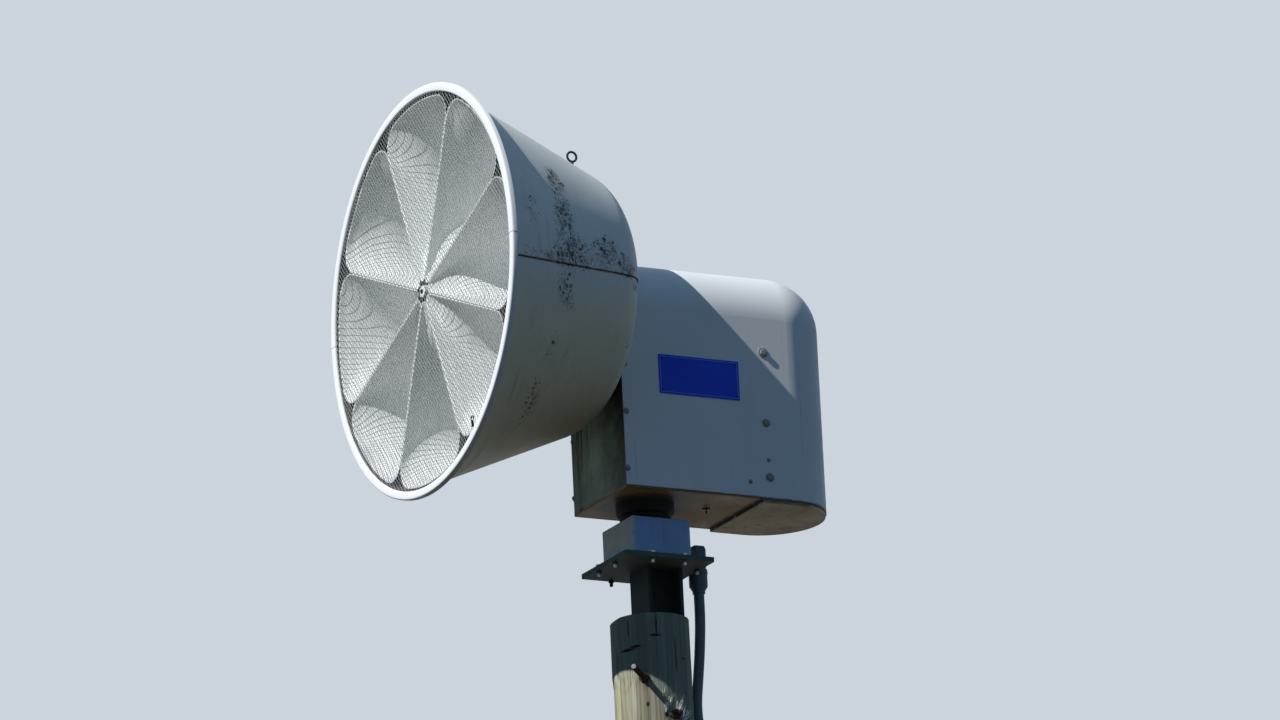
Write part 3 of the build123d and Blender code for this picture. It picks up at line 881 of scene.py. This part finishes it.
def makeScreen():
    size = screenSizes
    count = int(2 * size["radius"] * (1 / size["width"] + 1 / size["height"])) + 6
    screen = added(bpy.ops.mesh.primitive_grid_add, x_subdivisions=count, y_subdivisions=count, size=count)
    screen.name = "diamondScreen"
    settle(screen, turn=(0, 0, math.pi / 4))
    settle(screen, scale=(size["width"] / math.sqrt(2), size["height"] / math.sqrt(2), 1))
    settle(screen, turn=(math.pi / 2, 0, 0))
    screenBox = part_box("screen")
    centre = Vector((0, screenBox[1].y, axisZ))
    settle(screen, place=centre)
    keepFaces(screen, lambda face: (face.calc_center_median() - centre).length < size["radius"])
    bpy.ops.mesh.select_all(action="SELECT")
    bpy.ops.mesh.inset(thickness=size["strand"] / 2, use_individual=True, use_even_offset=True)
    bpy.ops.mesh.delete(type="FACE")
    bpy.ops.object.mode_set(mode="OBJECT")
    thickened(screen, size["thickness"])
    paint(screen, "meshGrey", "head", "screen_wire", "screen")


screenClip = {"x": 0.2595, "drop": 0.417, "ahead": 0.0025, "ring": 0.0065, "wire": 0.0014, "body": 0.0036,
              "length": 0.016}


def makeScreenClip():
    # a dark clip left hanging on the wires
    size = screenClip
    place = Vector((size["x"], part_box("screen")[1].y - size["ahead"], axisZ - size["drop"]))
    ring = added(bpy.ops.mesh.primitive_torus_add, major_radius=size["ring"], minor_radius=size["wire"],
                 major_segments=24, minor_segments=8)
    settle(ring, turn=(math.pi / 2, 0, 0))
    settle(ring, place=place + Vector((0, 0, size["ring"])))
    body = turned("clipBody", [(0.001, -size["length"]), (size["body"] * 0.8, 0.001 - size["length"]),
                               (size["body"], -0.002), (0.001, 0.001)], 12)
    settle(body, place=place)
    paint(joinPieces("screenClip", [body, ring]), "blackIron", "head", "black_iron")


# rolled rim in two halves that butt on the level line, the lower one a little slimmer

rimSizes = {
    "width": 0.024,
    "depth": 0.017,
    "rounding": 0.0055,
    "lip": 0.0068,
    "step": 0.0055,
    "lowerScale": 0.94,
    "gap": 0.0006,
    "steps": 96,
}


def rimOutline():
    # section of the rim about its middle: a rounded front, and a step behind its inner lip for the screen
    size = rimSizes
    wide, deep = size["width"] / 2, size["depth"] / 2
    points = []
    for sideways, front, start, rounding in ((1, 1, 0, 0.003), (-1, 1, 90, 0.0005), (-1, -1, 180, size["rounding"]),
                                             (1, -1, 270, size["rounding"])):
        inner = sideways < 0 and front > 0
        x = sideways * (wide - rounding) + (size["step"] if inner else 0)
        for t in np.radians(np.linspace(start, start + 90, 6)):
            points.append((x + rounding * math.cos(t), front * (deep - rounding) + rounding * math.sin(t)))
        if inner:
            points += [(-wide + size["step"], -deep + size["lip"]), (-wide, -deep + size["lip"])]
    return points


def makeRim():
    size = rimSizes
    middle, front = rimRadius - size["width"] / 2, mouthY + size["depth"] / 2
    slack = math.degrees(size["gap"] / rimRadius)
    for name, start, scale in (("upper", 0, 1.0), ("lower", 180, size["lowerScale"])):
        outline = [(middle + x * scale, front + y * scale) for x, y in rimOutline()]
        turns = np.radians(np.linspace(start + slack, start + 180 - slack, size["steps"]))
        rows = [[(radius * math.cos(t), y, axisZ + radius * math.sin(t)) for radius, y in outline] for t in turns]
        half = wrapGrid(f"{name}Rim", rows, smoothTo=50)
        paint(half, "rimWhite", "head", "rim_white", f"rim_{name}")


def shellProfile(inset):
    # depth and radius along the shell, front edge to the middle of its back
    size = shellSizes
    taper = math.radians(size["taper"])
    slope = math.tan(taper)
    front = size["frontRadius"] - inset / math.cos(taper)
    back = size["backDepth"] - inset
    bend = size["shoulder"] - inset
    centreDepth = back - bend
    centreRadius = front - (centreDepth - size["frontDepth"]) * slope - bend / math.cos(taper)
    bendStart = centreDepth + bend * math.sin(taper)
    points = [(depth, front - (depth - size["frontDepth"]) * slope)
              for depth in np.linspace(size["start"], bendStart, 12)[:-1]]
    points += [(centreDepth + bend * math.cos(t), centreRadius + bend * math.sin(t))
               for t in np.linspace(math.radians(90 - size["taper"]), 0, 14)]
    return points + [(back, radius) for radius in np.linspace(centreRadius, 0.01, 5)[1:]]


def makeShell():
    size = shellSizes
    tilt = math.radians(size["seamTilt"])
    normal = (0, -math.sin(tilt), math.cos(tilt))
    turns = np.linspace(0, 2 * math.pi, size["sides"], endpoint=False)
    for name, inset, sideways in (("upper", 0, -1), ("lower", size["lowerStep"], 1)):
        loop = shellProfile(inset) + shellProfile(inset + size["sheet"])[::-1]
        rows = [[(r * math.cos(t), mouthY + d, axisZ + r * math.sin(t)) for t in turns] for d, r in loop]
        shell = wrapGrid(f"{name}Shell", rows, True, 35)
        seamZ = axisZ - size["seamDrop"] + sideways * size["lap"]
        editAll(shell)
        bpy.ops.mesh.bisect(plane_co=(0, mouthY + size["frontDepth"], seamZ), plane_no=normal, use_fill=True,
                            clear_inner=name == "upper", clear_outer=name == "lower")
        turnFacesOut()
        paint(shell, "shellPaint", "head", "shell_paint", f"horn_shell_{name}")
        shell.data.materials.append(finishes["hornInside"])
        for face in shell.data.polygons:
            out = Vector((face.center.x, 0, face.center.z - axisZ)).normalized() + Vector((0, 0.6, 0))
            face.material_index = int(face.normal.dot(out) < -0.3)


# hub: a white collar with a dark bolt through it, on its rod

hubSizes = {
    "collarRadius": 0.0165,
    "front": 0.0066,
    "length": 0.03,
    "boltAcross": 0.011,
    "boltHeight": 0.003,
    "rodRadius": 0.008,
    "rodEnd": 0.399,
}


def makeHub():
    size = hubSizes
    collar = turned("hubCollar", [(0.006, 0), (0.0125, 0), (0.0155, -0.0012), (size["collarRadius"], -0.004),
                                  (size["collarRadius"], -size["length"]), (size["rodRadius"], -size["length"] - 0.004),
                                  (size["rodRadius"], -(size["rodEnd"] - size["front"]))], 40)
    hub = copyTo(collar, "hubAndRod", (0, mouthY + size["front"], axisZ), (0, -1, 0))
    scrap(collar)
    paint(hub, "cellWhite", "head", "galvanised_steel", "hub")
    head = hexPrism("hubBoltForm", size["boltAcross"], 0, size["boltHeight"])
    bolt = copyTo(head, "hubBolt", (0, mouthY + size["front"], axisZ), (0, -1, 0))
    scrap(head)
    paint(bolt, "blackIron", "head", "black_iron")


# small fasteners and marks on the head

coverBolts = {
    # depth behind the mouth, height off the axis, size across the head
    "places": ((0.901, -0.122, 0.016), (0.900, -0.311, 0.013), (0.903, -0.456, 0.014), (0.497, -0.315, 0.010),
               (0.494, -0.466, 0.010), (0.846, -0.472, 0.007), (0.902, -0.410, 0.006), (0.497, -0.19, 0.010)),
    "rise": 0.0045,
    "washer": 0.0014,
    "spin": 0.7,
}


def makeCoverBolts():
    size = coverBolts
    for number, (depth, height, across) in enumerate(size["places"]):
        form = hexBolt("boltForm", across, size["rise"], across * 0.85, size["washer"])
        for side in (-1, 1):
            bolt = copyTo(form, f"coverBolt{number + 1}{'Left' if side < 0 else 'Right'}",
                          (side * coverSide, mouthY + depth, axisZ + height), (side, 0, 0), number * size["spin"])
            paint(bolt, "dullZinc", "head", "galvanised_steel")
        scrap(form)


nameplateSizes = {"margin": 0.004, "line": 0.0016, "rise": 0.0003, "rivet": 0.003, "rivetInset": 0.005}


def makeNameplateTrim():
    low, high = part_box("nameplate")
    size = nameplateSizes
    border = added(bpy.ops.mesh.primitive_plane_add, size=1)
    border.name = "nameplateBorder"
    settle(border, turn=(0, math.pi / 2, 0))
    settle(border, scale=(1, high.y - low.y - 2 * size["margin"], high.z - low.z - 2 * size["margin"]))
    settle(border, place=(high.x + size["rise"], (low.y + high.y) / 2, (low.z + high.z) / 2))
    editAll(border)
    bpy.ops.mesh.inset(thickness=size["line"], depth=0)
    bpy.ops.mesh.delete(type="FACE")
    bpy.ops.object.mode_set(mode="OBJECT")
    thickened(border, 2 * size["rise"])
    paint(border, "paleBlue", "head", "nameplate_blue")
    rivet = turned("rivetForm", [(0.0005, 0.0016), (0.0018, 0.0013), (size["rivet"], 0.0003), (size["rivet"], -0.0002),
                                 (0.0005, -0.0002)][::-1], 18)
    inset = size["margin"] + size["rivetInset"]
    places = [(y, z) for z in (low.z + inset, high.z - inset) for y in (low.y + inset, high.y - inset)]
    for number, (y, z) in enumerate(places):
        form = copyTo(rivet, f"nameplateRivet{number + 1}", (high.x, y, z), (1, 0, 0))
        paint(form, "darkSteel", "head", "dark_steel")
    scrap(rivet)


panLatch = {"place": (0.037, 0.158), "bar": 0.021, "barRadius": 0.0021, "barDrop": 0.004, "turn": -28, "stem": 0.018,
            "stemRadius": 0.0019}


def makePanLatch():
    size = panLatch
    x, y = size["place"]
    stem = turned("latchStem", [(size["stemRadius"], 0.001), (size["stemRadius"], -size["stem"])], 16)
    settle(stem, place=(x, y, panBottom))
    half, thick = size["bar"] / 2, size["barRadius"]
    bar = turned("latchBar", [(0.001, -half), (thick, -half + 0.002), (thick, half - 0.002), (0.001, half)], 16)
    settle(bar, turn=(math.pi / 2, 0, math.radians(size["turn"])))
    settle(bar, place=(x, y, panBottom - size["barDrop"]))
    paint(joinPieces("panLatch", [stem, bar]), "blackIron", "head", "black_iron")


eyeNut = {"across": 0.019, "height": 0.008, "washer": 0.016, "washerThickness": 0.002, "sunk": 0.0005, "step": 0.01}


def makeEyeFoot():
    # washer and nut where the lifting eye's shank goes through the shell
    size = eyeNut
    low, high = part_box("lifting_eye")
    y = (low.y + high.y) / 2
    depths, radii = zip(*shellProfile(0)[:-5])
    radius, ahead = np.interp((y - mouthY, y - mouthY + size["step"]), depths, radii)
    form = hexBolt("eyeNutForm", size["across"], size["height"], size["washer"], size["washerThickness"])
    nut = copyTo(form, "eyeNut", (0, y, axisZ + radius - size["sunk"]), (0, radius - ahead, size["step"]))
    scrap(form)
    paint(nut, "darkSteel", "head", "dark_steel")


# the eight bolts of the mounting plate, nuts below

plateBoltSizes = {"out": 0.117, "apart": 0.046, "across": 0.013, "height": 0.006, "end": 0.0045, "length": 0.007,
                  "longer": 0.003}


def makePlateBolts():
    size = plateBoltSizes
    out, apartBy, thick, below = size["out"], size["apart"], size["end"], plateBox[0].z
    prism = hexPrism("plateNutForm", size["across"], 0, size["height"])
    corners = [(a, b) for a in (-1, 1) for b in (-1, 1)]
    places = [place for a, b in corners for place in ((a * out, b * apartBy), (a * apartBy, b * out))]
    for number, (x, y) in enumerate(places, 1):
        # one bolt is a longer black one
        dark = number == 1
        head = copyTo(prism, f"plateBolt{number}", (x, y, plateTop), (0, 0, 1), number)
        paint(head, "zinc", "mast", "galvanised_steel")
        nut = copyTo(prism, f"plateNut{number}", (x, y, below), (0, 0, -1), number * 1.3)
        paint(nut, "blackIron" if dark else "plateSteel", "mast", "dark_steel")
        reach = size["length"] + size["height"] + (size["longer"] if dark else 0)
        form = turned("plateEndForm", [(0.001, 0.001), (thick, 0.001), (thick, reach - 0.001), (thick - 0.001, reach),
                                       (0.001, reach)], 16)
        end = copyTo(form, f"plateBoltEnd{number}", (x, y, below), (0, 0, -1))
        paint(end, "blackIron" if dark else "zinc", "mast", "galvanised_steel")
        scrap(form)
    scrap(prism)


# wooden pole: grooves, checks and a sawn shoulder are only ever cut into it

poleSizes = {
    "foot": 0.1375,
    "top": 0.105,
    "grain": 0.0016,
    "fineGrain": 0.0011,
    "wander": 0.004,       # of the checks, sideways
    "dish": 0.0015,
    "bevel": 0.004,
    "shoulder": 0.006,     # a wider sawn cut on one side of the head
    "shoulderAt": -118,
    "shoulderWidth": 40,
    # worn sides: direction, depth, reach and upper end
    "worn": ((62, 0.0065, 75, 9.0), (-112, 0.0042, 60, 7.30), (-60, 0.003, 40, 7.27)),
    "sides": 256,
    "fineRings": 120,
    "fineReach": 0.60,
    "coarseRings": 130,
    # checks: direction, lowest and highest point, width and depth
    "checks": ((-86, 7.255, 7.38, 0.0022, 0.010), (-62, 7.37, 7.445, 0.0020, 0.010), (-100, 7.05, 7.27, 0.0022, 0.012),
               (-48, 6.90, 7.21, 0.0026, 0.014), (-20, 7.37, 7.445, 0.0020, 0.010), (8, 7.27, 7.41, 0.0020, 0.010),
               (-70, 6.2, 7.12, 0.003, 0.02), (15, 5.4, 7.06, 0.003, 0.02), (60, 6.5, 7.445, 0.003, 0.02),
               (120, 5.9, 7.445, 0.003, 0.02), (170, 6.4, 7.3, 0.003, 0.02), (-150, 5.2, 7.1, 0.003, 0.02),
               (-30, 3.6, 5.3, 0.003, 0.018), (45, 2.8, 4.6, 0.003, 0.018), (100, 3.1, 4.9, 0.003, 0.018),
               (200, 2.4, 4.4, 0.003, 0.018), (-80, 1.2, 3.2, 0.003, 0.018), (20, 0.6, 2.2, 0.003, 0.018),
               (140, 0.5, 2.5, 0.003, 0.018), (250, 0.3, 1.8, 0.003, 0.018)),
}


def turnFrom(angle, degrees):
    # the shorter way round from a direction given in degrees
    return math.remainder(angle - math.radians(degrees), 2 * math.pi)


def poleCut(angle, z):
    # how deep the wood is cut in at a direction and height, and how far that is a check
    size = poleSizes
    x, y = math.cos(angle), math.sin(angle)
    grain = noise.noise(Vector((x * 14, y * 14, z * 1.3)))
    fine = noise.noise(Vector((x * 42 + 7, y * 42, z * 4.0)))
    cut = size["grain"] * (0.5 + 0.5 * grain) + size["fineGrain"] * (0.5 + 0.5 * fine)
    crack = 0.0
    for at, low, high, width, deep in size["checks"]:
        if low < z < high:
            aside = turnFrom(angle, at) * poleRadius(z) + size["wander"] * noise.noise(Vector((at, z * 5, 3)))
            ends = min(1, 3 * min(z - low, high - z) / (high - low))
            share = max(0, 1 - abs(aside) / (width * (0.4 + 0.9 * ends)))
            crack = max(crack, share * ends)
            cut = max(cut, deep * share * ends)
    for at, deep, reach, below in size["worn"]:
        edge = below + 0.02 * noise.noise(Vector((x * 9, y * 9, 1.5)))
        share = max(0, 1 - abs(math.degrees(turnFrom(angle, at))) / reach) ** 0.7 * min(1, max(0, (edge - z) / 0.02))
        cut = max(cut, cut * 0.5 + deep * share)
    # bevel round the head, wider on the sawn side
    turn = math.degrees(turnFrom(angle, size["shoulderAt"]))
    wide = size["bevel"] + size["shoulder"] * max(0, 1 - abs(turn) / size["shoulderWidth"]) ** 0.6
    tall = wide * 0.55
    if poleTop - z < tall:
        cut = max(cut, wide * (1 - (poleTop - z) / tall))
    return cut, crack


def makePole():
    size = poleSizes
    fineStart = poleTop - size["fineReach"]
    heights = list(np.linspace(0, fineStart, size["coarseRings"], endpoint=False))
    heights += list(np.linspace(fineStart, poleTop, size["fineRings"]))
    turns = np.linspace(0, 2 * math.pi, size["sides"], endpoint=False)
    rows, cracks = [], []
    for z in heights:
        whole = poleRadius(z)
        cuts = [poleCut(t, z) for t in turns]
        rows.append([((whole - cut) * math.cos(t), (whole - cut) * math.sin(t), z)
                     for t, (cut, crack) in zip(turns, cuts)])
        cracks.append([crack for cut, crack in cuts])
    # the head: two more rings towards its middle, dished by the weather
    edge = rows[-1]
    for share in (0.8, 0.35):
        rows.append([(x * share, y * share, poleTop - size["dish"] * (1 - share)) for x, y, z in edge])
        cracks.append([0.0] * size["sides"])
    pole = wrapGrid("woodPole", rows, smoothTo=45)
    values = {tuple(round(c, 5) for c in point): crack for row, crackRow in zip(rows, cracks)
              for point, crack in zip(row, crackRow) if crack > 0}
    attribute = pole.data.attributes.new("crack", "FLOAT", "POINT")
    for vertex, slot in zip(pole.data.vertices, attribute.data):
        slot.value = values.get(tuple(round(c, 5) for c in vertex.co), 0.0)
    paint(pole, "wood", "mast", "weathered_wood", "pole")


throughBoltSizes = {"rod": 0.0078, "thread": 0.0006, "pitch": 0.002, "across": 0.019, "nut": 0.011,
                    "washer": 0.0135, "washerThickness": 0.003, "sunk": 0.001}


def makeThroughBolts():
    size = throughBoltSizes
    for name, place in boltPlaces.items():
        z = poleTop - place["drop"]
        reach = poleRadius(z) - size["sunk"]
        direction = outward(math.radians(place["angle"]))
        rod, end = size["rod"], place["tail"]
        profile = [(0.001, -0.03), (rod - 0.001, -0.03)]
        for step in np.arange(0, end - 0.004, size["pitch"]):
            profile += [(rod, step), (rod - size["thread"], step + size["pitch"] / 2)]
        profile += [(rod - 0.0006, end - 0.002), (rod - 0.0024, end), (0.001, end)]
        tail = turned(name + "Tail", profile, 20, 60)
        nutForm = hexBolt(name + "NutForm", size["across"], size["nut"], size["washer"], size["washerThickness"])
        parts = [copyTo(tail, name + "Rod", direction * reach, direction),
                 copyTo(nutForm, name + "Nut", direction * reach, direction, 0.3),
                 copyTo(nutForm, name + "Head", -direction * reach, -direction, 0.1)]
        scrap(tail, nutForm)
        bolt = joinPieces(f"{name}ThroughBolt", parts)
        bolt.data.transform(Matrix.Translation((0, 0, z)))
        paint(bolt, "rustySteel", "mast", "galvanised_steel", f"{name}_through_bolt")
    # the bright sawn end of the upper rod
    place = boltPlaces["upper"]
    direction = outward(math.radians(place["angle"]))
    z = poleTop - place["drop"]
    reach = poleRadius(z) - size["sunk"] + place["tail"]
    tip = turned("tipForm", [(0.001, -0.0005), (0.0062, -0.0005), (0.0062, 0.0004), (0.0045, 0.0008), (0.001, 0.0009)],
                 20)
    cap = copyTo(tip, "upperBoltTip", direction * reach + Vector((0, 0, z)), direction)
    scrap(tip)
    paint(cap, "dullZinc", "mast", "galvanised_steel")


# torn fibres round the lower bolt

splinterSizes = {
    "seed": 11,
    # middle direction and height of a tuft, how far it spreads, and how many slivers it has
    "tufts": ((9, 7.196, 5.0, 0.014, 15), (19, 7.176, 4.0, 0.010, 10), (-13, 7.190, 3.0, 0.010, 7),
              (-6, 7.214, 1.5, 0.006, 4), (-14, 7.237, 1.5, 0.005, 4)),
    "sunk": 0.004,
    "length": (0.016, 0.042),
    "width": (0.0012, 0.0026),
}


def makeSplinters():
    size = splinterSizes
    draw = random.Random(size["seed"])
    parts = []
    for at, z, wide, tall, count in size["tufts"]:
        for _ in range(count):
            angle = math.radians(at + draw.uniform(-wide, wide))
            height = z + draw.uniform(-tall, tall)
            reach = poleRadius(height) - size["sunk"]
            length = draw.uniform(*size["length"])
            width = draw.uniform(*size["width"])
            lean = draw.uniform(0.3, 0.85)
            aside = draw.uniform(-0.25, 0.25)
            out, along = outward(angle), outward(angle + math.pi / 2)
            rows = []
            for step in np.linspace(0, 1, 6):
                centre = out * (reach + length * lean * step ** 1.6) + along * (length * aside * step)
                centre.z = height + length * (step - 0.5)
                thick = width * (1 - step) ** 0.7 + 0.0001
                rows.append([tuple(centre + along * thick * a + out * thick * b * 0.45)
                             for a, b in ((1, 0), (0.4, 1), (-0.7, 0.8), (-1, -0.2), (0, -0.8))])
            parts.append(wrapGrid(f"sliver{len(parts)}", rows, smoothTo=20))
    tuft = joinPieces("tornFibres", parts)
    # the fibres are painted near white: pale torn wood, whitened further as painted sunlight
    paint(tuft, "tornWoodAndSunlight", "mast", "weathered_wood")


# conduit fittings

conduitTrim = {
    "ringRise": 0.0012,
    "ringDrop": 0.008,
    "collarRadius": 0.0165,
    "coverThickness": 0.002,
    "coverBevel": 0.0009,
    "coverRise": 0.0005,
    "screwRise": 0.0015,
    "screw": (0.006, 0.002, 0.004, 0.0008),
    "screwHeights": (0.18, 0.82),
}


def makeConduitTrim():
    size = conduitTrim
    low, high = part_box("conduit_connector")
    centre = (low + high) / 2
    radius = (high.x - low.x) / 2
    inner, outer = radius - 0.002, radius + size["ringRise"]
    ring = turned("glandBody", [(inner, -0.0035), (outer, -0.003), (outer, 0.003), (inner, 0.0035)], 48)
    settle(ring, place=(centre.x, centre.y, high.z - size["ringDrop"]))
    outer = size["collarRadius"]
    collar = turned("glandCollar", [(0.014, -0.004), (outer, -0.003), (outer, 0.003), (0.014, 0.004)], 40)
    settle(collar, place=(centre.x, centre.y, low.z - 0.002))
    paint(joinPieces("connectorRings", [ring, collar]), "conduitGrey", "mast", "conduit_dark")
    # the elbow's cover plate and its two screws
    low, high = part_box("conduit_elbow")
    centre, tall = (low + high) / 2, high.z - low.z
    cover = added(bpy.ops.mesh.primitive_cube_add, size=1)
    settle(cover, scale=((high.x - low.x) * 0.75, size["coverThickness"], tall * 0.8))
    bevelled(cover, size["coverBevel"])
    settle(cover, place=(centre.x, high.y + size["coverRise"], centre.z))
    screw = hexBolt("coverScrewForm", *size["screw"])
    y = high.y + size["screwRise"]
    parts = [cover] + [copyTo(screw, "elbowScrew", (centre.x, y, low.z + tall * share), (0, 1, 0))
                       for share in size["screwHeights"]]
    scrap(screw)
    paint(joinPieces("elbowCover", parts), "conduitGrey", "mast", "conduit_dark")


strapSizes = {"top": 6.880, "spacing": 0.914, "count": 8, "height": 0.032, "ear": 0.022, "under": 0.008,
              "sheet": 0.0022, "bevel": 0.0008, "screw": (0.010, 0.004, 0.008, 0.0012)}


def makeStrapEars():
    size = strapSizes
    screw = hexBolt("strapScrewForm", *size["screw"])
    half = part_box("conduit_straps")[1].x
    for number in range(size["count"]):
        z = size["top"] - number * size["spacing"] + size["height"] / 2
        whole = poleRadius(z)
        for side in (-1, 1):
            angle = math.asin((half + size["ear"] / 2) / whole)
            out = Vector((side * math.sin(angle), math.cos(angle), 0))
            ear = added(bpy.ops.mesh.primitive_cube_add, size=1)
            settle(ear, scale=(size["ear"] + size["under"], size["sheet"], size["height"]))
            bevelled(ear, size["bevel"])
            settle(ear, turn=(0, 0, -side * angle))
            settle(ear, place=(out.x * whole, out.y * whole, z))
            head = copyTo(screw, "strapScrew", out * (whole + size["sheet"] / 2) + Vector((0, 0, z)), out)
            ear = joinPieces(f"strapEar{number * 2 + (side + 3) // 2}", [ear, head])
            paint(ear, "zinc", "mast", "galvanised_steel")
    scrap(screw)


makeCamera()
makeStudio()
print("camera and studio are in place")
finishCadNodes()
print("the carried-over pieces have their finishes")
makeCells()
makeHub()
makeRim()
makeShell()
print("horn is made")
makeScreen()
makeScreenClip()
print("screen is woven")
makeCoverBolts()
makeNameplateTrim()
makePanLatch()
makeEyeFoot()
makePlateBolts()
print("fasteners are on")
makePole()
makeThroughBolts()
makeSplinters()
makeConduitTrim()
makeStrapEars()
print("pole and conduit are made")
